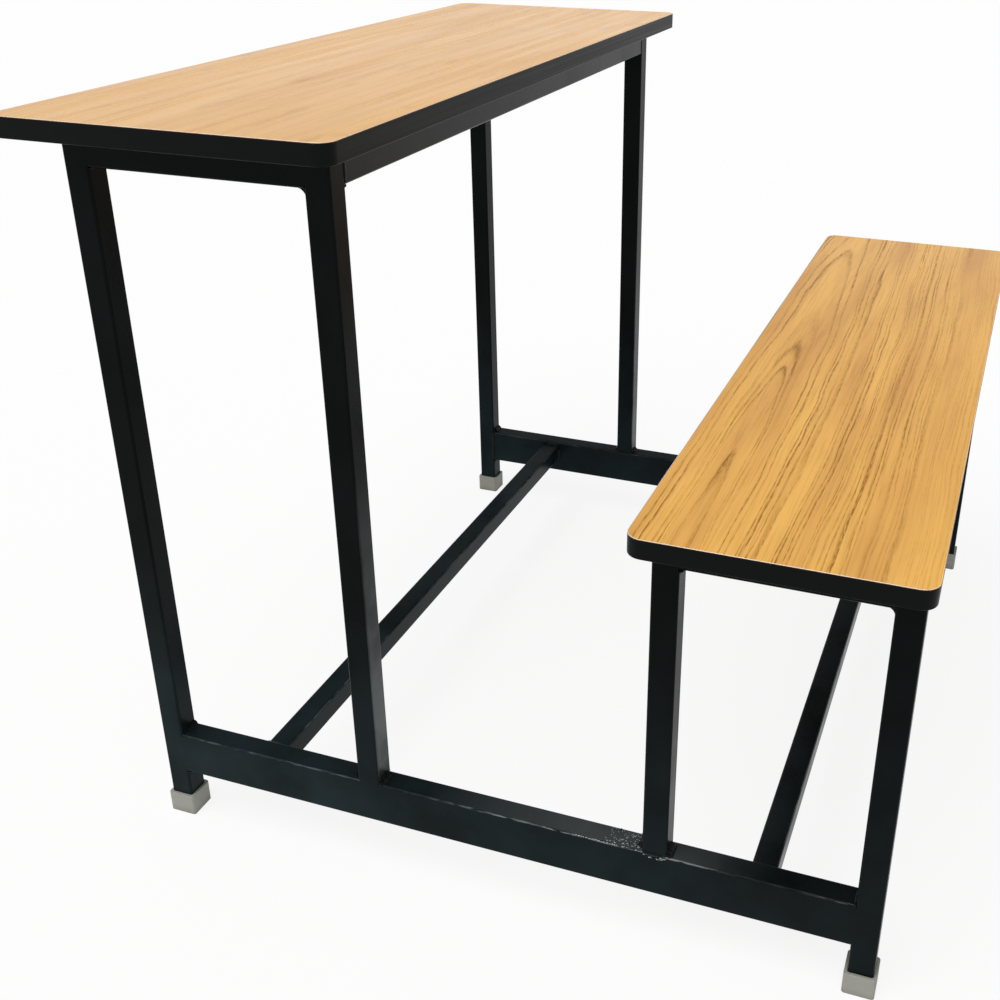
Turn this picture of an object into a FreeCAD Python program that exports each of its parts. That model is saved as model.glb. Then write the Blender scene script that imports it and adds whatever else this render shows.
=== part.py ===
import FreeCAD, Part
import math
import os

from FreeCAD import Vector

# School desk and bench on one welded tube frame, in millimetres.
# +Z is up, X runs along the boards, +Y points from the bench to the desk, and the
# origin is on the floor under the middle of the outline. Left and right are the sitter's.

# Tube sections
tube_side = 25.0
tube_wall = 1.2
tube_bend_radius = 1.3
floor_rail_height = 50.0
top_rail_height = 30.0

# Frame
frame_length = 876.0
desk_frame_depth = 265.0
bench_frame_depth = 230.0
leg_gap = 282.0
floor_rail_clearance = 58.0
stretcher_drop = 5.0
desk_stretcher_offset = 100.0

# Boards
desk_height = 770.0
bench_height = 475.0
end_overhang = 45.0
desk_front_overhang = 36.0
desk_rear_overhang = 27.0
bench_front_overhang = 12.0
bench_rear_overhang = 8.0
core_thickness = 18.0
laminate_thickness = 1.0
laminate_bevel = 0.4
band_thickness = 2.0
band_edge_radius = 1.0
board_corner_radius = 15.0

# Foot caps
cap_wall = 3.0
cap_height = 25.0
cap_sole = 5.0
cap_fit_clearance = 0.1
cap_corner_radius = 3.0
cap_edge_radius = 0.8

# Screws that hold the boards down, driven up through the beams
screw_diameter = 4.2
screw_tip_length = 4.0
screw_tip_diameter = 0.8
screw_head_diameter = 8.0
screw_head_height = 2.6
screw_head_radius = 1.2
screw_slot_width = 1.1
screw_slot_depth = 1.5
screw_shank_clearance = 0.3
screw_pilot_clearance = 0.05
screw_end_clearance = 1.0
screw_bite_share = 0.72
screw_slot_share = 0.6
screw_place_shares = (-0.36, 0.0, 0.36)

# How far a cutting shape runs past what it cuts
overrun = 2.0

# Derived places
X = Vector(1, 0, 0)
Y = Vector(0, 1, 0)
Z = Vector(0, 0, 1)
LEFT = -1
RIGHT = 1
SIDES = (("left", LEFT), ("right", RIGHT))

half_tube = tube_side / 2
tube_corner_radius = tube_bend_radius + tube_wall
board_thickness = core_thickness + laminate_thickness
board_length = frame_length + 2 * end_overhang
beam_length = frame_length - 2 * tube_side
leg_x = frame_length / 2 - half_tube

frame_depth = bench_frame_depth + leg_gap + desk_frame_depth
overall_depth = bench_rear_overhang + frame_depth + desk_front_overhang
frame_rear_y = bench_rear_overhang - overall_depth / 2
bench_rear_leg_y = frame_rear_y + half_tube
bench_front_leg_y = frame_rear_y + bench_frame_depth - half_tube
desk_rear_leg_y = frame_rear_y + bench_frame_depth + leg_gap + half_tube
desk_front_leg_y = frame_rear_y + frame_depth - half_tube

desk_underside_z = desk_height - board_thickness
bench_underside_z = bench_height - board_thickness
floor_rail_top_z = floor_rail_clearance + floor_rail_height
stretcher_top_z = floor_rail_top_z - stretcher_drop


def rounded_outline(centre, across, up, width, height, radius):
    """Closed outline of a rounded rectangle about centre, spanned by two unit vectors."""
    turns = ((across, up), (up, -across), (-across, -up), (-up, across))
    arcs = []
    for first, second in turns:
        reach = (first + second).dot(across) * (width / 2 - radius)
        rise = (first + second).dot(up) * (height / 2 - radius)
        corner = centre + across * reach + up * rise
        middle = (first + second) * (radius * math.sqrt(0.5))
        arcs.append((corner + first * radius, corner + middle, corner + second * radius))
    edges = []
    for arc, following in zip(arcs, arcs[1:] + arcs[:1]):
        edges.append(Part.Arc(*arc).toShape())
        edges.append(Part.LineSegment(arc[2], following[0]).toShape())
    return Part.Wire(edges)


def rounded_prism(start, direction, length, across, up, width, height, radius):
    """Rounded bar from start along direction."""
    outline = rounded_outline(start, across, up, width, height, radius)
    return Part.Face(outline).extrude(direction * length)


def tube(start, direction, length, across, up, height):
    """Hollow tube of one tube side across and the given height up, from start along direction."""
    outside = rounded_prism(start, direction, length, across, up, tube_side, height,
                            tube_corner_radius)
    bore_width = tube_side - 2 * tube_wall
    bore_height = height - 2 * tube_wall
    bore_start = start - direction * overrun
    bore_length = length + 2 * overrun
    bore = rounded_prism(bore_start, direction, bore_length, across, up, bore_width, bore_height,
                         tube_bend_radius)
    return outside.cut(bore)


def leg(side, y, bottom_z, top_z):
    """Upright square tube of one end frame."""
    return tube(Vector(side * leg_x, y, bottom_z), Z, top_z - bottom_z, X, Y, tube_side)


def end_tube(side, rear_leg_y, front_leg_y, top_z, height):
    """Tube of one end frame that runs from a rear leg's face to a front leg's face."""
    start = Vector(side * leg_x, rear_leg_y + half_tube, top_z - height / 2)
    return tube(start, Y, front_leg_y - rear_leg_y - tube_side, X, Z, height)


def long_tube(y, top_z, height):
    """Tube along X between the inner faces of the two end frames."""
    start = Vector(-beam_length / 2, y, top_z - height / 2)
    return tube(start, X, beam_length, Y, Z, height)


def foot_cap(side, y):
    """Square cup pushed onto the bottom of a leg."""
    centre = Vector(side * leg_x, y, 0)
    socket_side = tube_side + 2 * cap_fit_clearance
    cap_side = socket_side + 2 * cap_wall
    cup = rounded_prism(centre, Z, cap_height, X, Y, cap_side, cap_side, cap_corner_radius)
    rims = [edge for edge in cup.Edges if abs(edge.tangentAt(edge.FirstParameter).z) < 0.5]
    cup = cup.makeFillet(cap_edge_radius, rims)
    socket_depth = cap_height - cap_sole
    socket = rounded_prism(centre + Z * cap_sole, Z, socket_depth + overrun, X, Y, socket_side,
                           socket_side, tube_corner_radius + cap_fit_clearance)
    return cup.cut(socket)


def screw_places(beam_ys):
    """Where the screws go through a pair of beams."""
    places = []
    for y in beam_ys:
        for share in screw_place_shares:
            places.append((share * beam_length, y))
    return places


def screw(x, y, seat_z, length):
    """Pan-head screw pointing up, its head bearing on seat_z from below."""
    radius = screw_diameter / 2
    seat = Vector(x, y, seat_z)
    straight = length - screw_tip_length
    shank = Part.makeCylinder(radius, straight, seat, Z)
    tip = Part.makeCone(radius, screw_tip_diameter / 2, screw_tip_length, seat + Z * straight, Z)
    head = Part.makeCylinder(screw_head_diameter / 2, screw_head_height, seat, -Z)
    low_z = seat_z - screw_head_height
    rim = [edge for edge in head.Edges if edge.BoundBox.ZMax < low_z + screw_head_radius]
    head = head.makeFillet(screw_head_radius, rim)
    slot_length = screw_head_diameter * screw_slot_share
    for across, along in ((X, Y), (Y, X)):
        corner = Vector(x, y, low_z - overrun)
        corner -= across * (screw_slot_width / 2) + along * (slot_length / 2)
        size = across * screw_slot_width + along * slot_length
        slot = Part.makeBox(size.x, size.y, screw_slot_depth + overrun, corner)
        head = head.cut(slot)
    return head.fuse([shank, tip]).removeSplitter()


def drill_beam(beam, places, top_z):
    """Clearance holes for the screws, through both walls of a beam."""
    radius = screw_diameter / 2 + screw_shank_clearance
    for x, y in places:
        start = Vector(x, y, top_z - top_rail_height - overrun)
        beam = beam.cut(Part.makeCylinder(radius, top_rail_height + 2 * overrun, start, Z))
    return beam


def board_pieces(name, rear_y, front_y, top_z, places):
    """Core, edge band and laminate of one board, with the screws' pilot holes in the core."""
    depth = front_y - rear_y
    underside = Vector(0, (front_y + rear_y) / 2, top_z - board_thickness)
    core_length = board_length - 2 * band_thickness
    core_depth = depth - 2 * band_thickness
    core_radius = board_corner_radius - band_thickness
    core = rounded_prism(underside, Z, core_thickness, X, Y, core_length, core_depth, core_radius)

    band = rounded_prism(underside, Z, core_thickness, X, Y, board_length, depth,
                         board_corner_radius)
    rims = [edge for edge in band.Edges if edge.BoundBox.ZMax < underside.z + band_edge_radius]
    band = band.makeFillet(band_edge_radius, rims).cut(core)

    pilot_radius = screw_diameter / 2 + screw_pilot_clearance
    pilot_depth = core_thickness * screw_bite_share + screw_end_clearance
    for x, y in places:
        start = Vector(x, y, underside.z - overrun)
        core = core.cut(Part.makeCylinder(pilot_radius, pilot_depth + overrun, start, Z))

    sheet_z = underside + Z * core_thickness
    sheet = rounded_prism(sheet_z, Z, laminate_thickness, X, Y, board_length, depth,
                          board_corner_radius)
    top_edges = [edge for edge in sheet.Edges if edge.BoundBox.ZMin > top_z - laminate_bevel]
    sheet = sheet.makeChamfer(laminate_bevel, top_edges)
    return {name + "_board": core, name + "_edge_band": band, name + "_laminate": sheet}


def top_frame(name, rear_leg_y, front_leg_y, underside_z):
    """Rails and beams under one board, and the screws that hold the board down on them."""
    pieces = {}
    for side_name, side in SIDES:
        rail = end_tube(side, rear_leg_y, front_leg_y, underside_z, top_rail_height)
        pieces[side_name + "_" + name + "_end_rail"] = rail
    for end_name, y in (("rear", rear_leg_y), ("front", front_leg_y)):
        beam = long_tube(y, underside_z, top_rail_height)
        pieces[name + "_" + end_name + "_beam"] = drill_beam(beam, screw_places([y]), underside_z)
    length = top_rail_height + core_thickness * screw_bite_share
    seat_z = underside_z - top_rail_height
    screws = [screw(x, y, seat_z, length) for x, y in screw_places([rear_leg_y, front_leg_y])]
    pieces[name + "_screws"] = Part.makeCompound(screws)
    return pieces


def end_frame(side_name, side):
    """Four legs, the floor rail and the two foot caps of one end frame."""
    rail = end_tube(side, bench_rear_leg_y, desk_front_leg_y, floor_rail_top_z, floor_rail_height)
    pieces = {
        "desk_front_leg": leg(side, desk_front_leg_y, cap_sole, desk_underside_z),
        "desk_rear_leg": leg(side, desk_rear_leg_y, floor_rail_top_z, desk_underside_z),
        "bench_front_leg": leg(side, bench_front_leg_y, floor_rail_top_z, bench_underside_z),
        "bench_rear_leg": leg(side, bench_rear_leg_y, cap_sole, bench_underside_z),
        "floor_rail": rail,
        "front_foot_cap": foot_cap(side, desk_front_leg_y),
        "rear_foot_cap": foot_cap(side, bench_rear_leg_y),
    }
    return {side_name + "_" + name: shape for name, shape in pieces.items()}


def stretchers():
    """The two low tubes that tie the floor rails together."""
    desk_y = desk_rear_leg_y + half_tube + desk_stretcher_offset + half_tube
    bench_y = (bench_rear_leg_y + bench_front_leg_y) / 2
    return {
        "desk_stretcher": long_tube(desk_y, stretcher_top_z, tube_side),
        "bench_stretcher": long_tube(bench_y, stretcher_top_z, tube_side),
    }


def build():
    """Every piece by its node's name."""
    pieces = {}
    for side_name, side in SIDES:
        pieces.update(end_frame(side_name, side))
    pieces.update(stretchers())

    desk_leg_ys = [desk_rear_leg_y, desk_front_leg_y]
    pieces.update(top_frame("desk", *desk_leg_ys, desk_underside_z))
    desk_rear_edge = desk_rear_leg_y - half_tube - desk_rear_overhang
    desk_front_edge = desk_front_leg_y + half_tube + desk_front_overhang
    pieces.update(board_pieces("desk", desk_rear_edge, desk_front_edge, desk_height,
                               screw_places(desk_leg_ys)))

    bench_leg_ys = [bench_rear_leg_y, bench_front_leg_y]
    pieces.update(top_frame("bench", *bench_leg_ys, bench_underside_z))
    bench_rear_edge = bench_rear_leg_y - half_tube - bench_rear_overhang
    bench_front_edge = bench_front_leg_y + half_tube + bench_front_overhang
    pieces.update(board_pieces("bench", bench_rear_edge, bench_front_edge, bench_height,
                               screw_places(bench_leg_ys)))
    return pieces


os.makedirs("parts", exist_ok=True)
for node, shape in build().items():
    if not shape.isValid():
        raise ValueError(node + " is not a valid shape")
    shape.exportStep("parts/" + node + ".step")
    print(node, len(shape.Solids), round(shape.Volume))
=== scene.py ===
import math
import random

import bpy
from bpy.props import FloatProperty, FloatVectorProperty, IntProperty, PointerProperty
from mathutils import Matrix, Vector


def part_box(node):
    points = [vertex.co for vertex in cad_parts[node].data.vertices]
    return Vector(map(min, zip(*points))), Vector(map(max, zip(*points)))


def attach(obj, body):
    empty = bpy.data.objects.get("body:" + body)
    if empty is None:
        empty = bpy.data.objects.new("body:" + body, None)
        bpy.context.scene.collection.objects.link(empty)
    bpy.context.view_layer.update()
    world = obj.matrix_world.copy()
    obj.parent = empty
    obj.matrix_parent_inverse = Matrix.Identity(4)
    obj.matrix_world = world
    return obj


bl_info = {
    "name": "School desk with bench",
    "version": (1, 0, 0),
    "blender": (4, 5, 0),
    "location": "View3D > Sidebar > School desk",
    "description": "Finishes, weld beads and stage of a two-seat school desk with its bench",
    "category": "Object",
}

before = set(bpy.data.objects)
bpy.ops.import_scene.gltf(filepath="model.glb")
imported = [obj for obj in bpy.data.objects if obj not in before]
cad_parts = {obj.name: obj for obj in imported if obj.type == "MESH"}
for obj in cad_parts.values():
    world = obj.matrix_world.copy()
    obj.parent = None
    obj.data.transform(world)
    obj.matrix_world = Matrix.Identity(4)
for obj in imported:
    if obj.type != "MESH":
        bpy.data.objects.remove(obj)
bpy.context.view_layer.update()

MM_PER_METRE = 1000.0
X, Y, Z = range(3)

# The two ends of the frame, each with the way out along X.
ENDS = {"left": -1, "right": 1}


def linear(hex_colour):
    """Linear red, green and blue of an sRGB hex colour, by the sRGB standard's curve."""
    shares = [int(hex_colour[i : i + 2], 16) / 255 for i in (1, 3, 5)]
    return tuple(s / 12.92 if s <= 0.04045 else ((s + 0.055) / 1.055) ** 2.4 for s in shares)


def colour_property(name, description, hex_colour):
    """A colour that a user may change."""
    return FloatVectorProperty(
        name=name,
        description=description,
        subtype="COLOR",
        size=3,
        min=0.0,
        max=1.0,
        default=linear(hex_colour),
    )


class SchoolDeskColours(bpy.types.PropertyGroup):
    """Colours of the finishes"""

    enamel: colour_property("Enamel", "Black paint on the tubes", "#040606")
    enamel_thin: colour_property("Thin enamel", "The paint where it lies thinner", "#0B0E0F")
    # Lightens the frame low down: partly a dusty film, partly a painted reflection of the bright
    # floor.
    dust_and_reflection: colour_property("Dust", "Film of dust low on the frame", "#1F2E32")
    # Painted reflection: the lighter grey on the desk legs towards the bench and on the floor
    # rails' tops.
    scuff_and_reflection: colour_property("Scuff", "Enamel dulled by shoes", "#6E7375")
    # Painted glint: the bright broken line on the rounded upper edges.
    painted_glint: colour_property("Rubbed edge", "Paint rubbed thin on the upper edges", "#8A9090")
    # Painted glints on the sloping sides of the spatter drops.
    spatter_glint: colour_property("Bare steel", "Bright sides of the spatter", "#D2D6D6")
    print_light: colour_property("Light wood", "Lightest tone of the wood print", "#F8BE60")
    print_warm: colour_property("Warm wood", "Warm bands of the wood print", "#DEA152")
    print_line: colour_property("Grain line", "Dark lines of the wood print", "#A06A00")
    # Painted highlight along the laminate's bevel.
    bevel_highlight: colour_property("Laminate cut", "Pale bevel round the laminate", "#F0D8BA")
    laminate_core: colour_property("Laminate core", "Brown paper core at the edge", "#3A2114")
    band: colour_property("Edge band", "Black plastic round the boards", "#090B0A")
    cap: colour_property("Foot cap", "Grey plastic of the foot caps", "#97978F")
    cap_dirt: colour_property("Floor dirt", "Dirt low on the foot caps", "#62605A")
    veneer: colour_property("Veneer", "Plywood veneer under the boards", "#A9764E")
    veneer_dark: colour_property("Dark veneer", "Darker streaks of that veneer", "#8A5836")
    zinc: colour_property("Zinc", "Plating of the screws", "#C6C7C2")
    floor: colour_property("Floor", "Studio floor", "#F7F7F6")


class SchoolDeskGrain(bpy.types.PropertyGroup):
    """Sizes of the wood print, in millimetres"""

    ring_spacing: FloatProperty(
        name="Ring spacing",
        description="Mean distance between two dark lines, in millimetres",
        default=7.0,
        min=1.0,
    )
    taper: FloatProperty(
        name="Taper",
        description="How fast the rings close into arches along the board",
        default=0.037,
    )


class SchoolDeskWelds(bpy.types.PropertyGroup):
    """Sizes of the weld beads and of the spatter beside them"""

    fillet_leg: FloatProperty(
        name="Fillet",
        description="Reach of a plain fillet bead up each of its walls",
        unit="LENGTH",
        default=0.005,
    )
    heavy_leg: FloatProperty(
        name="Heavy fillet",
        description="Reach of the fillet beads at the inner legs",
        unit="LENGTH",
        default=0.0068,
    )
    bead_height: FloatProperty(
        name="Bead height",
        description="How far an unground bead stands off its tubes",
        unit="LENGTH",
        default=0.0011,
    )
    bead_width: FloatProperty(
        name="Bead width",
        description="Width of an unground bead",
        unit="LENGTH",
        default=0.006,
    )
    ripple_pitch: FloatProperty(
        name="Ripple pitch",
        description="Distance between two ripples of a bead",
        unit="LENGTH",
        default=0.0026,
    )
    groove: FloatProperty(
        name="Groove",
        description="Depth of the groove that a ground weld fills, the tubes' corner radius",
        unit="LENGTH",
        default=0.0025,
    )
    spatter_count: IntProperty(
        name="Spatter",
        description="Drops of spatter beside each bench front leg",
        default=130,
    )


class SchoolDeskStage(bpy.types.PropertyGroup):
    """Floor, light and camera"""

    floor_size: FloatProperty(
        name="Floor size",
        description="Side of the studio floor",
        unit="LENGTH",
        default=90.0,
    )
    sky_strength: FloatProperty(
        name="Room light",
        description="Strength of the light from all round",
        default=1.0,
    )
    softbox_strength: FloatProperty(
        name="Softbox",
        description="Strength of the overhead softbox",
        default=2.2,
    )
    softbox_spread: FloatProperty(
        name="Softbox spread",
        description="Angle that the overhead softbox fills",
        subtype="ANGLE",
        default=math.radians(55),
    )
    lens: FloatProperty(
        name="Lens",
        description="Focal length of the camera",
        unit="CAMERA",
        default=45.446,
    )


def add(tree, kind, feeds=(), stops=(), **settings):
    """Adds a node with its settings. Feeds fill its inputs, by name or in order, each with a value
    or with a link from a socket or from the first output in use of another node."""
    node = tree.nodes.new("ShaderNode" + kind)
    for name, value in settings.items():
        setattr(node, name, value)
    if isinstance(feeds, dict):
        pairs = [(node.inputs[name], value) for name, value in feeds.items()]
    else:
        pairs = zip([socket for socket in node.inputs if socket.enabled], feeds)
    for socket, value in pairs:
        if isinstance(value, bpy.types.Node):
            value = next(output for output in value.outputs if output.enabled)
        if isinstance(value, bpy.types.NodeSocket):
            tree.links.new(value, socket)
        else:
            socket.default_value = value
    for place, stop in enumerate(stops):
        elements = node.color_ramp.elements
        element = elements[place] if place < len(elements) else elements.new(stop[0])
        element.position, element.color = stop
    return node


def rgba(colour):
    """A colour as a socket takes it."""
    return (*colour, 1.0)


def grey(level):
    """A grey as a ramp's stop takes it."""
    return (level, level, level, 1.0)


def new_finish(name):
    """A material with an empty node tree."""
    finish = bpy.data.materials.new(name)
    finish.use_nodes = True
    finish.node_tree.nodes.clear()
    return finish, finish.node_tree


def place_in_mm(tree, centre=(0.0, 0.0, 0.0)):
    """The point on the piece in millimetres from a centre."""
    metres = add(tree, "TexCoord").outputs["Object"]
    whole = add(tree, "VectorMath", (metres, (MM_PER_METRE,) * 3), operation="MULTIPLY")
    return add(tree, "VectorMath", (whole, centre), operation="SUBTRACT")


def stretched_noises(tree, place, sizes):
    """Noises by name, each with its grain's size along X, Y and Z in millimetres and its detail."""
    noises = {}
    for name, (size, detail) in sizes.items():
        scale = tuple(1.0 / length for length in size)
        spread = add(tree, "Mapping", {"Vector": place, "Scale": scale})
        noises[name] = add(tree, "TexNoise", {"Vector": spread, "Scale": 1.0, "Detail": detail})
    return noises


def masked(tree, *limits):
    """A share that several limits hold back. Each limit is a value, the range that it goes through
    and the shares at the range's two ends."""
    share = 1.0
    for limit in limits:
        part = add(tree, "MapRange", limit)
        share = add(tree, "Math", (share, part), operation="MULTIPLY", use_clamp=True)
    return share


def lay_on(node, finish):
    """Gives a CAD node one finish."""
    node.data.materials.clear()
    node.data.materials.append(finish)


def nodes_named(ending):
    """The CAD nodes whose names end in this word."""
    return [node for name, node in sorted(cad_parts.items()) if name.endswith(ending)]


# Roughness and specular level of the enamel: sprayed on tube, in the fuller coat of the beams, run
# over a bead, and in a thick drop.
SATIN = (0.24, 0.05)
FULL = (0.24, 0.1)
GLOSSY = (0.17, 0.1)
WET = (0.1, 0.6)

# How much rougher the cloudiest enamel is than the smoothest.
CLOUDED = 1.4

# Spots of the painted glint on the upper edges, in millimetres across and along a tube.
GLINT_WIDTH = 1.5
GLINT_LENGTH = 14.0


def black_enamel(name, colours, along=None, glint_colour=None, sheen=SATIN, with_dust_and_reflection=True):
    """Synthetic enamel sprayed on steel tube: near black with a cold cast, an even satin shine and
    fine orange peel. Low down lies a grey film, partly dusty and partly a painted reflection of the
    bright floor; a painted grey reflection lightens the desk legs' faces towards the bench and the
    tops of the floor rails; and the rounded upper edges near the bench carry a painted glint, a
    thin broken bright line. Over beads it runs glossy, without that film and those painted
    reflections, and on spatter it lies thick and wet, with painted glints on the drops' sides."""
    finish, tree = new_finish(name)
    place = place_in_mm(tree)
    glint_spots = [GLINT_WIDTH] * 3
    if along is not None:
        glint_spots[along] = GLINT_LENGTH
    # Real orange peel is about 1 mm across. It is drawn coarser, or it wouldn't show.
    noises = stretched_noises(
        tree,
        place,
        {
            "cloud": ((70.0, 70.0, 70.0), 3.0),
            "glint_spots": (glint_spots, 4.0),
            "peel": ((2.6, 2.6, 2.6), 1.0),
        },
    )
    cloud = noises["cloud"]
    forward, height = add(tree, "SeparateXYZ", (place,)).outputs[Y:]
    normal = add(tree, "NewGeometry").outputs["Normal"]
    facing_forward, facing_up = add(tree, "SeparateXYZ", (normal,)).outputs[Y:]

    dust_and_painted_light = []
    if with_dust_and_reflection:
        # Dusty film low on the frame, partly a painted reflection of the bright floor: lighter low
        # down and towards the desk.
        dust_and_reflection = masked(
            tree,
            (height, 330.0, 40.0, 0.0, 1.0),
            (forward, -400.0, 400.0, 0.5, 1.3),
            (cloud, 0.0, 1.0, 0.0, 1.0),
        )
        # Painted reflection: a lighter grey on the desk rear legs' faces towards the bench, below
        # the knee and above the beads.
        painted_side_reflection = masked(
            tree,
            (facing_forward, -0.5, -0.9, 0.0, 0.9),
            (height, 460.0, 130.0, 0.0, 1.0),
            (height, 114.0, 128.0, 0.0, 1.0),
            (forward, 20.0, 60.0, 0.0, 1.0),
            (forward, 220.0, 180.0, 0.0, 1.0),
            (cloud, 0.2, 0.6, 0.0, 1.0),
        )
        # Painted reflection: a lighter grey on the flat tops of the floor rails, in front of the
        # bench.
        painted_top_reflection = masked(
            tree,
            (facing_up, 0.9, 0.98, 0.0, 0.27),
            (height, 160.0, 120.0, 0.0, 1.0),
            (forward, 60.0, -110.0, 0.0, 1.0),
            (forward, -300.0, -190.0, 0.0, 1.0),
            (cloud, 0.2, 0.5, 0.4, 1.0),
        )
        dust_and_painted_light += [(dust_and_reflection, colours.dust_and_reflection), (painted_side_reflection, colours.scuff_and_reflection), (painted_top_reflection, colours.scuff_and_reflection)]
    if glint_colour is not None:
        # Painted glint on the rounded upper edges and the spatter's sides, well below the desk top
        # and mostly in front of the bench.
        painted_glint = masked(
            tree,
            (facing_up, 0.2, 0.45, 0.0, 1.0),
            (facing_up, 0.75, 0.92, 1.0, 0.0),
            (height, 600.0, 500.0, 0.0, 1.0),
            (forward, 60.0, -90.0, 0.3, 1.0),
            (forward, -260.0, -170.0, 0.35, 1.0),
            (cloud, 0.4, 0.56, 0.15, 1.0),
            (noises["glint_spots"], 0.4, 0.58, 0.0, 1.0),
        )
        dust_and_painted_light.append((painted_glint, glint_colour))

    thin = add(tree, "MapRange", (cloud, 0.35, 0.75))
    colour = rgba(colours.enamel)
    for share, mark in ((thin, colours.enamel_thin), *dust_and_painted_light):
        colour = add(tree, "Mix", (share, colour, rgba(mark)), data_type="RGBA")
    smoothest, specular = sheen
    shine = add(tree, "MapRange", (cloud, 0.3, 0.7, smoothest, CLOUDED * smoothest))
    peel = add(tree, "Bump", {"Strength": 0.12, "Distance": 0.0006, "Height": noises["peel"]})
    surface = add(
        tree,
        "BsdfPrincipled",
        {
            "Base Color": colour,
            "Roughness": shine,
            "Normal": peel,
            "Specular IOR Level": specular,
        },
    )
    add(tree, "OutputMaterial", {"Surface": surface})
    return finish


# The wood print's lines: how far they wander, wave and fray sideways in millimetres, how unevenly
# the rings follow each other, the late wood's share beside the rows of pores, and the strength of
# the strongest line.
LINE_REACHES = (("wander", 22.0), ("wave", 8.0), ("fibre", 1.6))
RING_BUNCHING = 4.5
LATE_WOOD = 0.36
STRONGEST_LINE = 0.78

# How much weaker the lines are in the weak streaks of a fully banded print.
BAND_CONTRAST = 0.6


def wood_print_laminate(name, colours, grain, figure):
    """Wood-print laminate: golden tan with warm bands, faint smudges, thin broken brown lines that
    run straight or close into narrow arches, a painted highlight on the bevel and a brown paper
    core at the cut edge."""
    finish, tree = new_finish(name)
    place = place_in_mm(tree, figure["centre"])
    # The printed pores are some 0.3 mm wide. They are drawn wider, or they wouldn't show.
    noises = stretched_noises(
        tree,
        place,
        {
            "wander": ((420.0, 150.0, 100.0), 1.0),
            "wave": ((120.0, 28.0, 100.0), 2.0),
            "fibre": ((45.0, 2.4, 100.0), 2.0),
            "streak": ((260.0, 15.0, 100.0), 2.0),
            "tone": ((520.0, 42.0, 100.0), 2.0),
            "blotch": ((240.0, 26.0, 100.0), 3.0),
            "pore": ((10.0, 1.2, 100.0), 2.0),
            "fine": ((80.0, 1.7, 100.0), 2.0),
            "smudge": ((60.0, 24.0, 100.0), 3.0),
        },
    )

    # The print is a plank sawn along a slightly tapered trunk, so its rings close into arches.
    along, side, _ = add(tree, "SeparateXYZ", (place,)).outputs
    across = side
    for noise, reach in LINE_REACHES:
        centred = add(tree, "Math", (noises[noise], -0.5))
        across = add(tree, "Math", (centred, reach, across), operation="MULTIPLY_ADD")
    taper = grain.taper * figure["lean"]
    depth = add(tree, "Math", (along, taper, figure["depth"]), operation="MULTIPLY_ADD")
    section = add(tree, "CombineXYZ", (across, depth))
    radius = add(tree, "VectorMath", (section,), operation="LENGTH")
    turns = add(tree, "Math", (radius, grain.ring_spacing), operation="DIVIDE")
    years = {"W": turns, "Scale": 0.5, "Detail": 1.0}
    uneven = add(tree, "TexNoise", years, noise_dimensions="1D")
    bunched = add(tree, "Math", (uneven, RING_BUNCHING, turns), operation="MULTIPLY_ADD")
    ring = add(tree, "Math", (bunched,), operation="FRACT")

    late_wood = add(
        tree,
        "ValToRGB",
        (ring,),
        stops=((0.0, grey(0.8)), (0.1, grey(0.0)), (0.55, grey(0.0)), (0.95, grey(1.0))),
    )
    pore_row = add(
        tree,
        "ValToRGB",
        (ring,),
        stops=((0.0, grey(1.0)), (0.14, grey(0.0)), (0.64, grey(0.0)), (0.9, grey(1.0))),
    )
    pores = add(tree, "MapRange", (noises["pore"], 0.38, 0.58, 0.15, 1.0))
    rows = add(tree, "Math", (pore_row, pores), operation="MULTIPLY")
    fine = add(tree, "MapRange", (noises["fine"], 0.48, 0.66, 0.0, 0.4))
    lines = add(tree, "Math", (late_wood, LATE_WOOD, rows), operation="MULTIPLY_ADD")
    lines = add(tree, "Math", (lines, fine))
    strongest = STRONGEST_LINE * figure["lines"]
    weakest = (1.0 - BAND_CONTRAST * figure["banding"]) * strongest
    strength = add(tree, "MapRange", (noises["streak"], 0.36, 0.62, weakest, strongest))
    # The lines fade towards the board's rear edge.
    strip = masked(tree, (strength, 0.0, 1.0, 0.0, 1.0), (side, -185.0, -130.0, 0.4, 1.0))
    dark = add(tree, "Math", (lines, strip), operation="MULTIPLY", use_clamp=True)

    warmth = add(tree, "Math", (noises["tone"], noises["blotch"]))
    spread = 0.5 * figure["banding"]
    tone = add(tree, "MapRange", (warmth, 0.82, 1.28, 0.5 - spread, 0.5 + spread))
    printed = add(
        tree,
        "Mix",
        (tone, rgba(colours.print_light), rgba(colours.print_warm)),
        data_type="RGBA",
    )
    smudges = add(tree, "MapRange", (noises["smudge"], 0.6, 0.8, 0.0, figure["smudges"]))
    for share in (dark, smudges):
        printed = add(tree, "Mix", (share, printed, rgba(colours.print_line)), data_type="RGBA")

    # The print lies on the flat face, the bevel's slope is painted pale as a highlight, and the
    # core stands upright.
    normal = add(tree, "NewGeometry").outputs["True Normal"]
    facing_up = add(tree, "SeparateXYZ", (normal,)).outputs["Z"]
    colour = rgba(colours.laminate_core)
    for least, part in ((0.2, rgba(colours.bevel_highlight)), (0.95, printed)):
        here = add(tree, "Math", (facing_up, least), operation="GREATER_THAN")
        colour = add(tree, "Mix", (here, colour, part), data_type="RGBA")

    shine = add(tree, "MapRange", (noises["streak"], 0.3, 0.7, 0.22, 0.3))
    relief = {"Strength": 0.25, "Distance": 0.0002, "Height": dark}
    surface = add(
        tree,
        "BsdfPrincipled",
        {
            "Base Color": colour,
            "Roughness": shine,
            "Normal": add(tree, "Bump", relief, invert=True),
            "Specular IOR Level": 0.35,
        },
    )
    add(tree, "OutputMaterial", {"Surface": surface})
    return finish


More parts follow.
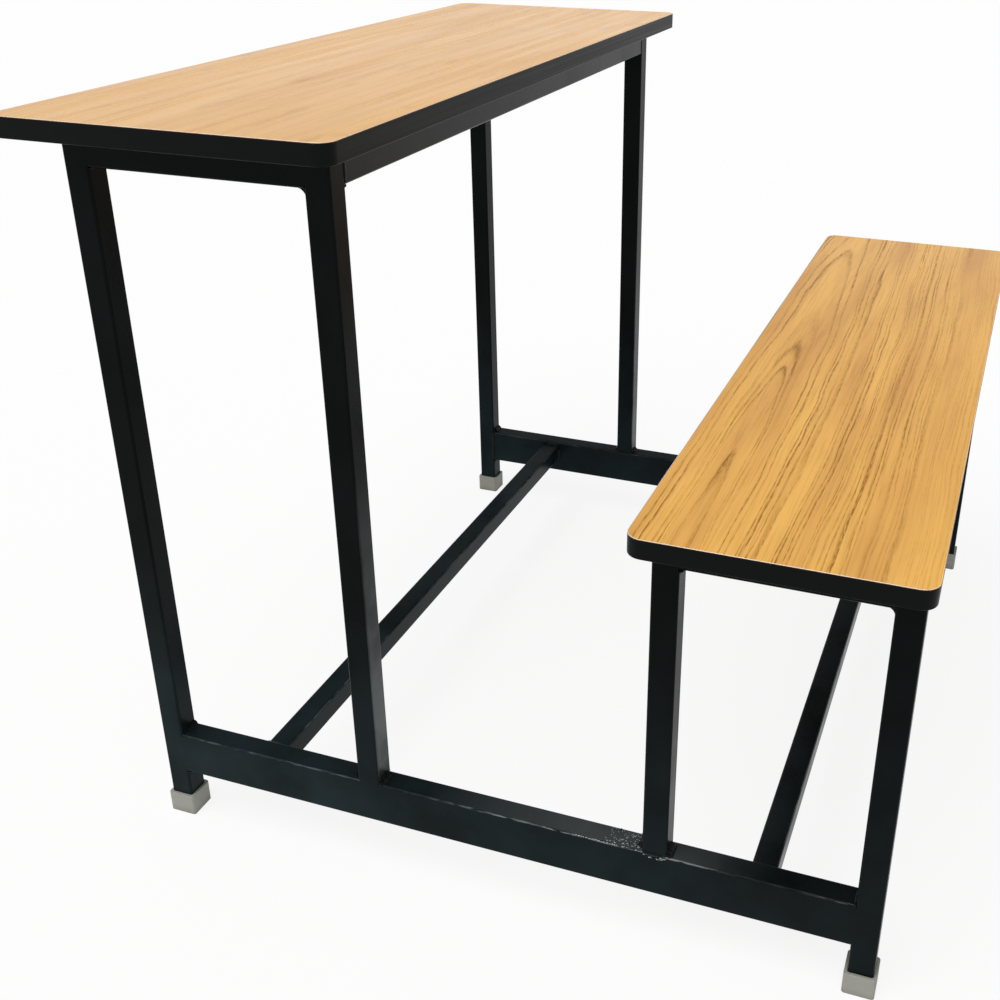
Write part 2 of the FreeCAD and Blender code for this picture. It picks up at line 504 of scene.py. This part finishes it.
def plywood_veneer(name, colours):
    """Rotary-cut plywood veneer, sanded and unpainted: dull warm brown with soft streaks and fine
    open pores along the board."""
    finish, tree = new_finish(name)
    # Real pores are some 0.2 mm wide. They are drawn wider, or they wouldn't show.
    noises = stretched_noises(
        tree,
        place_in_mm(tree),
        {"streak": ((420.0, 16.0, 16.0), 4.0), "pore": ((12.0, 0.8, 0.8), 1.0)},
    )
    tone = add(tree, "MapRange", (noises["streak"], 0.3, 0.7))
    pores = add(tree, "MapRange", (noises["pore"], 0.58, 0.7, 0.0, 0.5))
    colour = rgba(colours.veneer)
    for share, part in ((tone, colours.veneer_dark), (pores, colours.laminate_core)):
        colour = add(tree, "Mix", (share, colour, rgba(part)), data_type="RGBA")
    relief = {"Strength": 0.3, "Distance": 0.0003, "Height": pores}
    surface = add(
        tree,
        "BsdfPrincipled",
        {
            "Base Color": colour,
            "Roughness": add(tree, "MapRange", (noises["streak"], 0.0, 1.0, 0.62, 0.8)),
            "Normal": add(tree, "Bump", relief, invert=True),
            "Specular IOR Level": 0.3,
        },
    )
    add(tree, "OutputMaterial", {"Surface": surface})
    return finish


def black_pvc_band(name, colours):
    """Extruded PVC edge band: black, with an even low shine, faint lines along it and small
    scuffed spots."""
    finish, tree = new_finish(name)
    # The real grit is some 0.1 mm across. It is drawn coarser, or it wouldn't show.
    noises = stretched_noises(
        tree,
        place_in_mm(tree),
        {
            "line": ((300.0, 300.0, 1.6), 2.0),
            "scuff_and_reflection": ((14.0, 14.0, 5.0), 3.0),
            "grit": ((0.8, 0.8, 0.8), 1.0),
        },
    )
    scuff_and_reflection = add(tree, "MapRange", (noises["scuff_and_reflection"], 0.5, 0.8))
    colour = add(
        tree,
        "Mix",
        (scuff_and_reflection, rgba(colours.band), rgba(colours.enamel_thin)),
        data_type="RGBA",
    )
    relief = {"Strength": 0.1, "Distance": 0.0002, "Height": noises["grit"]}
    surface = add(
        tree,
        "BsdfPrincipled",
        {
            "Base Color": colour,
            "Roughness": add(tree, "MapRange", (noises["line"], 0.3, 0.7, 0.3, 0.42)),
            "Normal": add(tree, "Bump", relief),
            "Specular IOR Level": 0.07,
        },
    )
    add(tree, "OutputMaterial", {"Surface": surface})
    return finish


def moulded_polypropylene(name, colours):
    """Injection-moulded polypropylene: warm light grey, matt, with a finely eroded mould surface
    and floor dirt towards the sole."""
    finish, tree = new_finish(name)
    place = place_in_mm(tree)
    # The real mould's grit is some 0.1 mm across. It is drawn coarser, or it wouldn't show.
    noises = stretched_noises(
        tree,
        place,
        {"cloud": ((12.0, 12.0, 12.0), 3.0), "grit": ((0.7, 0.7, 0.7), 2.0)},
    )
    cloud = noises["cloud"]
    height = add(tree, "SeparateXYZ", (place,)).outputs["Z"]
    dirt = masked(tree, (height, 9.0, 0.0, 0.0, 0.75), (cloud, 0.0, 1.0, 0.0, 1.0))
    colour = add(
        tree,
        "Mix",
        (dirt, rgba(colours.cap), rgba(colours.cap_dirt)),
        data_type="RGBA",
    )
    relief = {"Strength": 0.2, "Distance": 0.0003, "Height": noises["grit"]}
    surface = add(
        tree,
        "BsdfPrincipled",
        {
            "Base Color": colour,
            "Roughness": add(tree, "MapRange", (cloud, 0.3, 0.7, 0.45, 0.58)),
            "Normal": add(tree, "Bump", relief),
            "Specular IOR Level": 0.4,
        },
    )
    add(tree, "OutputMaterial", {"Surface": surface})
    return finish


def zinc_plating(name, colours):
    """Zinc-plated steel: silvery, slightly cloudy, with a soft metal shine."""
    finish, tree = new_finish(name)
    noises = stretched_noises(tree, place_in_mm(tree), {"cloud": ((3.0, 3.0, 3.0), 3.0)})
    cloud = noises["cloud"]
    tint = add(tree, "MapRange", (cloud, 0.35, 0.7))
    colour = add(tree, "Mix", (tint, rgba(colours.zinc), rgba(colours.cap)), data_type="RGBA")
    surface = add(
        tree,
        "BsdfPrincipled",
        {
            "Base Color": colour,
            "Roughness": add(tree, "MapRange", (cloud, 0.0, 1.0, 0.22, 0.4)),
            "Metallic": 1.0,
        },
    )
    add(tree, "OutputMaterial", {"Surface": surface})
    return finish


class SCHOOLDESK_OT_paint_frame(bpy.types.Operator):
    """Paints the legs, rails, beams and stretchers"""

    bl_idname = "school_desk.paint_frame"
    bl_label = "Paint the frame"

    def execute(self, context):
        colours = context.scene.school_desk_colours
        tubes = (
            ("black_enamel_on_beams", X, "_beam", FULL),
            ("black_enamel_on_stretchers", X, "_stretcher", SATIN),
            ("black_enamel_on_rails", Y, "_rail", SATIN),
            ("black_enamel_on_legs", Z, "_leg", SATIN),
        )
        for name, along, ending, sheen in tubes:
            # Each tube carries a painted glint along its rounded upper edges.
            finish = black_enamel(name, colours, along, colours.painted_glint, sheen)
            for node in nodes_named(ending):
                lay_on(node, finish)
        return {"FINISHED"}


# In metres: faces closer than this touch, and a fillet needs a ledge wider than this.
TOUCH = 0.0005
LEDGE = 0.004


def tube_seams(butting, onto):
    """The seams round a tube's end where it stands on another tube's face. A fillet lies where the
    face runs on past the tube, and a flush seam where both tubes share a side."""
    low, high = (Vector(corner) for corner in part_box(butting))
    face_low, face_high = (Vector(corner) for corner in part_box(onto))
    axis, sign = next(
        (axis, sign)
        for axis in (X, Y, Z)
        for sign, end, face in ((1, low, face_high), (-1, high, face_low))
        if abs(end[axis] - face[axis]) < TOUCH
    )
    middle = (low + high) / 2
    middle[axis] = low[axis] if sign > 0 else high[axis]
    out = Vector([sign * (i == axis) for i in (X, Y, Z)])
    seams = []
    for across in (i for i in (X, Y, Z) if i != axis):
        along_axis = X + Y + Z - axis - across
        for turn, edge, face_edge in ((-1, low, face_low), (1, high, face_high)):
            margin = turn * (face_edge[across] - edge[across])
            side = Vector([turn * (i == across) for i in (X, Y, Z)])
            corner = middle.copy()
            corner[across] = edge[across]
            if abs(margin) < TOUCH:
                kind = "flush"
            elif margin > LEDGE:
                kind = "fillet"
            else:
                raise ValueError(butting + " and " + onto + " leave no room for a weld")
            seams.append(
                {
                    "kind": kind,
                    "corner": corner,
                    "along": out.cross(side),
                    "out": out,
                    "side": side,
                    "margin": margin,
                    "length": high[along_axis] - low[along_axis],
                }
            )
    return seams


# A bead's rod: the sides of its section, the lean of its rings in radians, the rings in each
# ripple, the ripples' height and unevenness in shares of its size, the share of its half length
# that keeps the full size, and how strongly its ends taper.
ROD_SIDES = 32
RING_LEAN = 0.4
RINGS_PER_RIPPLE = 5
RIPPLE = 0.045
UNEVENNESS = 0.02
FULL_SHARE = 0.72
END_DROP = 0.88


def rippled_rod(context, radius, sink, length, pitch, seed):
    """A rod along X, its middle sunk below the origin, drawn out ring by ring: each ring is scaled
    about the seam, for the ripples and for the tapered ends."""
    chance = random.Random(seed)
    bpy.ops.object.select_all(action="DESELECT")
    bpy.ops.mesh.primitive_circle_add(
        vertices=ROD_SIDES,
        radius=radius,
        fill_type="NGON",
        location=(-length / 2, 0.0, -sink),
        rotation=(0.0, math.pi / 2, 0.0),
    )
    rod = context.object
    bpy.ops.object.transform_apply(location=True, rotation=True, scale=True)
    bpy.ops.object.mode_set(mode="EDIT")
    bpy.ops.mesh.select_all(action="SELECT")
    bpy.ops.transform.rotate(
        value=RING_LEAN,
        orient_axis="Y",
        orient_type="GLOBAL",
        center_override=(-length / 2, 0.0, -sink),
    )
    rings = RINGS_PER_RIPPLE * round(length / pitch)
    swell = 1.0
    for ring in range(rings + 1):
        share = ring / rings
        past = max(0.0, abs(2 * share - 1) - FULL_SHARE) / (1 - FULL_SHARE)
        ripple = RIPPLE * math.cos(math.tau * ring / RINGS_PER_RIPPLE)
        target = math.sqrt(max(0.0, 1 - END_DROP * past * past))
        target *= 1 + ripple + chance.uniform(-UNEVENNESS, UNEVENNESS)
        place = (share - 0.5) * length
        if ring:
            step = {"value": (length / rings, 0, 0)}
            bpy.ops.mesh.extrude_region_move(TRANSFORM_OT_translate=step)
        bpy.ops.transform.resize(
            value=(1.0, target / swell, target / swell),
            center_override=(place, 0.0, 0.0),
        )
        swell = target
    return rod


def trim(*normals):
    """Cuts the piece in edit mode off below planes through the origin and closes the cuts."""
    for normal in normals:
        bpy.ops.mesh.select_all(action="SELECT")
        bpy.ops.mesh.bisect(plane_co=(0, 0, 0), plane_no=normal, use_fill=True, clear_inner=True)
    bpy.ops.mesh.select_all(action="SELECT")
    bpy.ops.mesh.normals_make_consistent(inside=False)
    bpy.ops.object.mode_set(mode="OBJECT")


# Radius of a fillet bead's rod, in shares of the bead's reach.
FILLET_ROUND = 1.58

# Bevels of the long strips, each with its width as a share of the strip's side, its segments and
# its profile: the hollow face of a broad fillet, and the deep edge of a ground weld.
HOLLOW_FACE = (0.97, 9, 0.12)
DEEP_EDGE = (0.7, 4, 0.5)

# A ground weld stands this far off its tubes, so that its face and theirs don't coincide.
GROUND_PROUD = 0.00002

# Edges of a bead that turn more than this stay sharp.
SHARP_TURN = math.radians(50)


def fillet_bead(context, welds, length, seed):
    """A convex bead in the corner of two walls that open upwards at 45 degrees to each side."""
    leg = welds.fillet_leg
    sink = leg / math.sqrt(2)
    rod = rippled_rod(context, FILLET_ROUND * leg, sink, length, welds.ripple_pitch, seed)
    trim((0.0, 1.0, 1.0), (0.0, -1.0, 1.0))
    return rod


def long_strip(context, length, side, place, turn, bevel):
    """A square strip along X with its outermost edge in Y and Z bevelled, up for 1, down for -1."""
    bpy.ops.object.select_all(action="DESELECT")
    bpy.ops.mesh.primitive_cube_add(size=1.0, location=place, scale=(length, side, side))
    strip = context.object
    bpy.ops.object.transform_apply(location=True, rotation=True, scale=True)
    bpy.ops.object.mode_set(mode="EDIT")
    bpy.ops.mesh.select_all(action="DESELECT")
    bpy.ops.object.mode_set(mode="OBJECT")
    vertices = strip.data.vertices
    furthest = max(turn * (vertex.co.y + vertex.co.z) for vertex in vertices)
    for edge in strip.data.edges:
        reach = [turn * (vertices[i].co.y + vertices[i].co.z) for i in edge.vertices]
        edge.select = min(reach) > furthest - TOUCH
    width, segments, profile = bevel
    bpy.ops.object.mode_set(mode="EDIT")
    bpy.ops.mesh.select_mode(type="EDGE")
    bpy.ops.mesh.bevel(offset=width * side, segments=segments, profile=profile)
    bpy.ops.object.mode_set(mode="OBJECT")
    return strip


def hollow_fillet(context, welds, length):
    """A broad fillet with a hollow face, in the corner of two walls at 45 degrees to each side."""
    leg = welds.heavy_leg
    fillet = long_strip(context, length, leg, (0.0, leg / 2, leg / 2), 1, HOLLOW_FACE)
    bpy.ops.object.mode_set(mode="EDIT")
    bpy.ops.mesh.select_all(action="SELECT")
    bpy.ops.transform.rotate(value=-math.pi / 4, orient_axis="X", center_override=(0.0, 0.0, 0.0))
    bpy.ops.object.mode_set(mode="OBJECT")
    if max(vertex.co.z for vertex in fillet.data.vertices) < leg / 2:
        raise ValueError("the fillet was turned away from its corner")
    return fillet


def flush_bead(context, welds, length, seed):
    """A low bead over a seam in a flat face."""
    high, half = welds.bead_height, welds.bead_width / 2
    radius = (half * half + high * high) / (2 * high)
    rod = rippled_rod(context, radius, radius - high, length, welds.ripple_pitch, seed)
    trim((0.0, 0.0, 1.0))
    return rod


def ground_fill(context, welds, length):
    """A weld ground level with its tubes: a strip that fills the groove beside the seam, its deep
    edge rounded off along the tube's own corner."""
    groove = welds.groove
    place = (0.0, -groove / 2, GROUND_PROUD - groove / 2)
    return long_strip(context, length, groove, place, -1, DEEP_EDGE)


def spatter_drop(context):
    """A drop of spatter one metre across, flattened where it struck, for copies at any size."""
    bpy.ops.object.select_all(action="DESELECT")
    bpy.ops.mesh.primitive_uv_sphere_add(segments=8, ring_count=5, radius=0.5)
    drop = context.object
    bpy.ops.object.mode_set(mode="EDIT")
    bpy.ops.mesh.select_all(action="SELECT")
    bpy.ops.transform.vertex_random(offset=0.07, uniform=0.5, seed=3)
    # Raised, so that the cut leaves more than half of it.
    bpy.ops.transform.translate(value=(0.0, 0.0, 0.12))
    trim((0.0, 0.0, 1.0))
    return drop


def lay_copy(context, pattern, place, along, up, stretch):
    """A copy of a pattern, its X along the seam and its Z up, with its place in its mesh."""
    bpy.ops.object.select_all(action="DESELECT")
    pattern.select_set(True)
    context.view_layer.objects.active = pattern
    bpy.ops.object.duplicate()
    copy = context.object
    turn = Matrix((along, up.cross(along), up)).transposed().to_4x4()
    copy.matrix_world = Matrix.Translation(place) @ turn @ Matrix.Diagonal((*stretch, 1.0))
    bpy.ops.object.transform_apply(location=True, rotation=True, scale=True)
    return copy


def join_welds(context, name, copies, finish):
    """One painted piece of the frame from several copies."""
    bpy.ops.object.select_all(action="DESELECT")
    for copy in copies:
        copy.select_set(True)
    context.view_layer.objects.active = copies[0]
    bpy.ops.object.join()
    piece = context.object
    piece.name = piece.data.name = name
    bpy.ops.object.shade_smooth_by_angle(angle=SHARP_TURN)
    lay_on(piece, finish)
    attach(piece, "root")


# Each end's joints by group: the tube that butts, the tube that it meets, the kind of fillet
# between them and its share of that kind's full reach.
JOINTS = {
    "floor_rail": (
        ("floor_rail", "desk_front_leg", "rippled", 1.0),
        ("floor_rail", "bench_rear_leg", "rippled", 0.6),
        ("desk_rear_leg", "floor_rail", "rippled", 1.3),
        ("bench_front_leg", "floor_rail", "rippled", 1.3),
    ),
    "desk_top": (
        ("desk_end_rail", "desk_rear_leg", "hollow", 1.0),
        ("desk_end_rail", "desk_front_leg", "rippled", 0.6),
        ("desk_rear_beam", "desk_rear_leg", "rippled", 0.7),
        ("desk_front_beam", "desk_front_leg", "rippled", 1.0),
    ),
    "bench_top": (
        ("bench_end_rail", "bench_rear_leg", "hollow", 0.85),
        ("bench_end_rail", "bench_front_leg", "rippled", 1.0),
        ("bench_rear_beam", "bench_rear_leg", "rippled", 1.0),
        ("bench_front_beam", "bench_front_leg", "rippled", 1.0),
    ),
    "stretcher": (
        ("desk_stretcher", "floor_rail", "rippled", 0.9),
        ("bench_stretcher", "floor_rail", "rippled", 0.9),
    ),
}

# The tube whose outer bead is left unground.
UNGROUND = "bench_front_leg"

# Length of each pattern bead. A seam's beads are stretched from it.
BEAD_LENGTH = 0.022

# Seeds of the pattern beads' ripples and of the choice among them.
FILLET_SEEDS = (4, 9, 15)
FLUSH_SEEDS = (5, 8)
CHOICE_SEED = 21


def joint_beads(welds, end, butting, onto, shape, share):
    """The beads of one joint: each one's kind, place, ways along and up, and stretch."""
    tubes = [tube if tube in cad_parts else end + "_" + tube for tube in (butting, onto)]
    full = welds.heavy_leg if shape == "hollow" else welds.fillet_leg
    for seam in tube_seams(*tubes):
        side, along = seam["side"], seam["along"]
        run = seam["length"] - 2 * welds.groove
        count, up, swell = 1, side, 1.0
        if seam["kind"] == "fillet":
            kind = shape
            up = (side + seam["out"]).normalized()
            swell = min(share * full, seam["margin"] - TOUCH) / full
        elif side.z > 0:
            # A flush seam on top would hold the board off.
            continue
        elif side.x * ENDS[end] > 0 and butting != UNGROUND:
            kind = "ground"
        else:
            kind = "flush"
            count = max(1, round(run / BEAD_LENGTH))
        stretch = (run / BEAD_LENGTH / count, swell, swell)
        for turn in range(count):
            place = seam["corner"] + along * run * ((turn + 0.5) / count - 0.5)
            yield kind, place, along, up, stretch


class SCHOOLDESK_OT_weld_frame(bpy.types.Operator):
    """Lays the weld beads and ground welds of the frame"""

    bl_idname = "school_desk.weld_frame"
    bl_label = "Weld the frame"

    def execute(self, context):
        welds = context.scene.school_desk_welds
        colours = context.scene.school_desk_colours
        satin = black_enamel("black_enamel_on_welds", colours)
        glossy = black_enamel(
            "glossy_black_enamel_on_welds",
            colours,
            sheen=GLOSSY,
            with_dust_and_reflection=False,
        )
        length = BEAD_LENGTH
        patterns = {
            "rippled": [fillet_bead(context, welds, length, seed) for seed in FILLET_SEEDS],
            "flush": [flush_bead(context, welds, length, seed) for seed in FLUSH_SEEDS],
            "hollow": [hollow_fillet(context, welds, length)],
            "ground": [ground_fill(context, welds, length)],
        }
        chance = random.Random(CHOICE_SEED)
        ground = {end: [] for end in ENDS}
        for end in ENDS:
            for group, joints in JOINTS.items():
                copies = []
                for joint in joints:
                    for kind, *lie in joint_beads(welds, end, *joint):
                        choices = patterns[kind]
                        bead = chance.choice(choices) if len(choices) > 1 else choices[0]
                        pile = ground[end] if kind == "ground" else copies
                        pile.append(lay_copy(context, bead, *lie))
                finish = glossy if group == "floor_rail" else satin
                join_welds(context, end + "_" + group + "_welds", copies, finish)
        for end, copies in ground.items():
            join_welds(context, end + "_ground_welds", copies, satin)
        for beads in patterns.values():
            for bead in beads:
                bpy.data.objects.remove(bead)
        return {"FINISHED"}


# A drop of spatter: its width in metres, and its length and height in shares of that width.
DROP_SIZES = (0.0008, 0.0021)
DROP_LENGTHS = (1.0, 2.4)
DROP_HEIGHTS = (0.6, 1.1)
SPATTER_SEED = 33

# One drop in so many lies on the rail's outer face under the leg, and one in so many on its rounded
# upper edge. The rest lie on its top.
FACE_EVERY = 16
EDGE_EVERY = 4

# Where the drops lie, in metres. On the face: how far below the rail's top. On the edge: how far
# into its round, and how far along. On the top: the least gap, the reach in from the outer side and
# the reach away from the leg.
FACE_DEPTHS = (0.002, 0.005)
EDGE_INSET = 0.0009
EDGE_RUN = 0.07
TOP_GAP = 0.003
TOP_INWARD = 0.02
TOP_AWAY = 0.036

# More than 1 draws the drops on top towards the corner of the leg.
CROWDING = 1.3


def drop_lie(chance, turn, outward, leg, rail, spin):
    """Where a drop of spatter lies beside a leg on a rail, with its ways along and up."""
    (_, leg_rear, _), (_, leg_front, _) = leg
    top = rail[1][Z]
    outer = rail[0][X] if outward < 0 else rail[1][X]
    along = Vector((0, 1, 0))
    if turn % FACE_EVERY == 0:
        place = (outer, chance.uniform(leg_rear, leg_front), top - chance.uniform(*FACE_DEPTHS))
        up = Vector((outward, 0, 0))
    elif turn % EDGE_EVERY == 1:
        run = EDGE_RUN * chance.random()
        place = (outer - EDGE_INSET * outward, leg_front + run, top - EDGE_INSET)
        up = Vector((outward, 0, 1)).normalized()
    else:
        inward = TOP_GAP + TOP_INWARD * chance.random() ** CROWDING
        away = TOP_GAP + TOP_AWAY * chance.random() ** CROWDING
        place = (outer - outward * inward, leg_front + away, top)
        up = Vector((0, 0, 1))
        along = Vector((math.cos(spin), math.sin(spin), 0))
    return Vector(place), along, up


class SCHOOLDESK_OT_scatter_spatter(bpy.types.Operator):
    """Scatters weld spatter on the floor rails beside the bench front legs"""

    bl_idname = "school_desk.scatter_spatter"
    bl_label = "Scatter spatter"

    def execute(self, context):
        welds = context.scene.school_desk_welds
        colours = context.scene.school_desk_colours
        # The spatter carries painted glints on the sloping sides of its drops.
        finish = black_enamel("thick_black_enamel", colours, glint_colour=colours.spatter_glint, sheen=WET)
        drop = spatter_drop(context)
        chance = random.Random(SPATTER_SEED)
        for end, outward in ENDS.items():
            leg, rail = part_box(end + "_bench_front_leg"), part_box(end + "_floor_rail")
            copies = []
            for turn in range(welds.spatter_count):
                spin = chance.uniform(0.0, math.tau)
                size = chance.uniform(*DROP_SIZES)
                length, height = chance.uniform(*DROP_LENGTHS), chance.uniform(*DROP_HEIGHTS)
                lie = drop_lie(chance, turn, outward, leg, rail, spin)
                stretch = (size * length, size, size * height)
                copies.append(lay_copy(context, drop, *lie, stretch))
            join_welds(context, end + "_rail_spatter", copies, finish)
        bpy.data.objects.remove(drop)
        return {"FINISHED"}


# The wood print on each board: its centre and the saw cut's distance from the heart of the trunk,
# in millimetres, the way its arches close, and how strong its lines, bands and smudges are.
FIGURES = {
    "desk": {
        "centre": (60.0, 260.0, 0.0),
        "depth": 24.0,
        "lean": -1.0,
        "lines": 0.25,
        "banding": 0.4,
        "smudges": 0.4,
    },
    "bench": {
        "centre": (0.0, -206.0, 0.0),
        "depth": 20.0,
        "lean": 1.0,
        "lines": 1.0,
        "banding": 0.95,
        "smudges": 0.12,
    },
}


class SCHOOLDESK_OT_face_boards(bpy.types.Operator):
    """Gives the boards their laminate, edge band and veneer"""

    bl_idname = "school_desk.face_boards"
    bl_label = "Face the boards"

    def execute(self, context):
        colours = context.scene.school_desk_colours
        grain = context.scene.school_desk_grain
        for board, figure in FIGURES.items():
            finish = wood_print_laminate("wood_print_on_" + board, colours, grain, figure)
            lay_on(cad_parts[board + "_laminate"], finish)
        band = black_pvc_band("black_pvc_edge_band", colours)
        for node in nodes_named("_edge_band"):
            lay_on(node, band)
        veneer = plywood_veneer("plywood_veneer", colours)
        for node in nodes_named("_board"):
            lay_on(node, veneer)
        return {"FINISHED"}


class SCHOOLDESK_OT_finish_fittings(bpy.types.Operator):
    """Gives the foot caps and screws their finishes"""

    bl_idname = "school_desk.finish_fittings"
    bl_label = "Finish caps and screws"

    def execute(self, context):
        colours = context.scene.school_desk_colours
        plastic = moulded_polypropylene("grey_moulded_polypropylene", colours)
        for node in nodes_named("_foot_cap"):
            lay_on(node, plastic)
        zinc = zinc_plating("zinc_plated_steel", colours)
        for node in nodes_named("_screws"):
            lay_on(node, zinc)
        return {"FINISHED"}


# Share of plain white in the floor that the camera sees. The rest is lit, and keeps the shadow.
FLOOR_GLOW = 0.86

# Light by height: bright walls up to the horizon's band, a dimmer ceiling above.
ROOM_LIGHT = (
    (0.0, grey(1.0)),
    (0.19, grey(1.0)),
    (0.26, grey(0.3)),
    (1.0, grey(0.3)),
)

# The overhead softbox: where it hangs, and the way from which it shines.
SOFTBOX_PLACE = (-1.0, 0.4, 2.6)
SOFTBOX_FROM = (-0.38, 0.15, 0.91)

# The camera as fitted to the photograph: its angles in radians, its place in metres, the width of
# its sensor in millimetres and its shift in shares of that width.
CAMERA_TURN = 0.337087
CAMERA_TILT = 0.455199
CAMERA_ROLL = 0.007872
CAMERA_PLACE = (-1.334605, -0.428906, 0.969513)
SENSOR_WIDTH = 36.0
SHIFT_X = -0.087724
SHIFT_Y = -0.027758


def lay_floor(context, stage, colours):
    """A matt white floor that the camera sees nearly white and that keeps the shadow."""
    bpy.ops.object.select_all(action="DESELECT")
    bpy.ops.mesh.primitive_plane_add(size=stage.floor_size)
    floor = context.object
    floor.name = "studio_floor"
    finish, tree = new_finish("matt_white_floor")
    paint = add(tree, "BsdfDiffuse", {"Color": rgba(colours.floor)})
    glow = add(tree, "Emission", {"Color": grey(1.0), "Strength": 1.0})
    rays = add(tree, "LightPath").outputs
    seen = rays["Is Camera Ray"]
    for ray in ("Is Glossy Ray", "Is Transmission Ray"):
        seen = add(tree, "Math", (seen, rays[ray]), operation="MAXIMUM")
    share = add(tree, "Math", (seen, FLOOR_GLOW), operation="MULTIPLY")
    mixed = add(tree, "MixShader", (share, paint, glow))
    add(tree, "OutputMaterial", {"Surface": mixed})
    lay_on(floor, finish)


def light_room(context, stage):
    """Even light from all round, and a broad soft one from above."""
    world = bpy.data.worlds.new("studio_room")
    world.use_nodes = True
    context.scene.world = world
    tree = world.node_tree
    tree.nodes.clear()
    direction = add(tree, "TexCoord").outputs["Generated"]
    height = add(tree, "SeparateXYZ", (direction,)).outputs["Z"]
    room = add(tree, "ValToRGB", (height,), stops=ROOM_LIGHT)
    glow = add(tree, "Background", {"Color": room, "Strength": stage.sky_strength})
    add(tree, "OutputWorld", {"Surface": glow})

    bpy.ops.object.light_add(type="SUN", location=SOFTBOX_PLACE)
    softbox = context.object
    softbox.name = "overhead_softbox"
    softbox.rotation_euler = Vector(SOFTBOX_FROM).to_track_quat("Z", "Y").to_euler()
    softbox.data.energy = stage.softbox_strength
    softbox.data.angle = stage.softbox_spread


def place_camera(context, stage):
    """The camera at the photograph's viewing angle."""
    turn, tilt, roll = CAMERA_TURN, CAMERA_TILT, CAMERA_ROLL
    level = Vector((math.cos(turn), math.sin(turn), 0.0))
    ahead = math.cos(tilt) * level - math.sin(tilt) * Vector((0.0, 0.0, 1.0))
    right = Vector((math.sin(turn), -math.cos(turn), 0.0))
    up = right.cross(ahead)
    rolled = math.cos(roll) * right + math.sin(roll) * up
    up = math.cos(roll) * up - math.sin(roll) * right
    bpy.ops.object.camera_add()
    camera = context.object
    camera.name = "photo_camera"
    pose = Matrix((rolled, up, -ahead)).transposed().to_4x4()
    pose.translation = CAMERA_PLACE
    camera.matrix_world = pose
    camera.data.sensor_fit = "HORIZONTAL"
    camera.data.sensor_width = SENSOR_WIDTH
    camera.data.lens = stage.lens
    camera.data.shift_x = SHIFT_X
    camera.data.shift_y = SHIFT_Y
    context.scene.camera = camera


class SCHOOLDESK_OT_set_stage(bpy.types.Operator):
    """Lays the floor, hangs the lights and sets up the camera"""

    bl_idname = "school_desk.set_stage"
    bl_label = "Set the stage"

    def execute(self, context):
        stage = context.scene.school_desk_stage
        context.scene.view_settings.view_transform = "Standard"
        lay_floor(context, stage, context.scene.school_desk_colours)
        light_room(context, stage)
        place_camera(context, stage)
        return {"FINISHED"}


class SCHOOLDESK_PT_sidebar(bpy.types.Panel):
    """Steps that dress the desk and bench"""

    bl_label = "School desk"
    bl_space_type = "VIEW_3D"
    bl_region_type = "UI"
    bl_category = "School desk"

    def draw(self, context):
        for step in STEPS:
            self.layout.operator(step.bl_idname)


STEPS = (
    SCHOOLDESK_OT_paint_frame,
    SCHOOLDESK_OT_weld_frame,
    SCHOOLDESK_OT_scatter_spatter,
    SCHOOLDESK_OT_face_boards,
    SCHOOLDESK_OT_finish_fittings,
    SCHOOLDESK_OT_set_stage,
)
SETTINGS = {
    "school_desk_colours": SchoolDeskColours,
    "school_desk_grain": SchoolDeskGrain,
    "school_desk_welds": SchoolDeskWelds,
    "school_desk_stage": SchoolDeskStage,
}


def register():
    for settings in SETTINGS.values():
        bpy.utils.register_class(settings)
    for name, settings in SETTINGS.items():
        setattr(bpy.types.Scene, name, PointerProperty(type=settings))
    for step in STEPS:
        bpy.utils.register_class(step)
    bpy.utils.register_class(SCHOOLDESK_PT_sidebar)


def unregister():
    bpy.utils.unregister_class(SCHOOLDESK_PT_sidebar)
    for step in reversed(STEPS):
        bpy.utils.unregister_class(step)
    for name in SETTINGS:
        delattr(bpy.types.Scene, name)
    for settings in reversed(list(SETTINGS.values())):
        bpy.utils.unregister_class(settings)


def main():
    register()
    for step in STEPS:
        group, name = step.bl_idname.split(".")
        getattr(getattr(bpy.ops, group), name)()


if __name__ == "__main__":
    main()
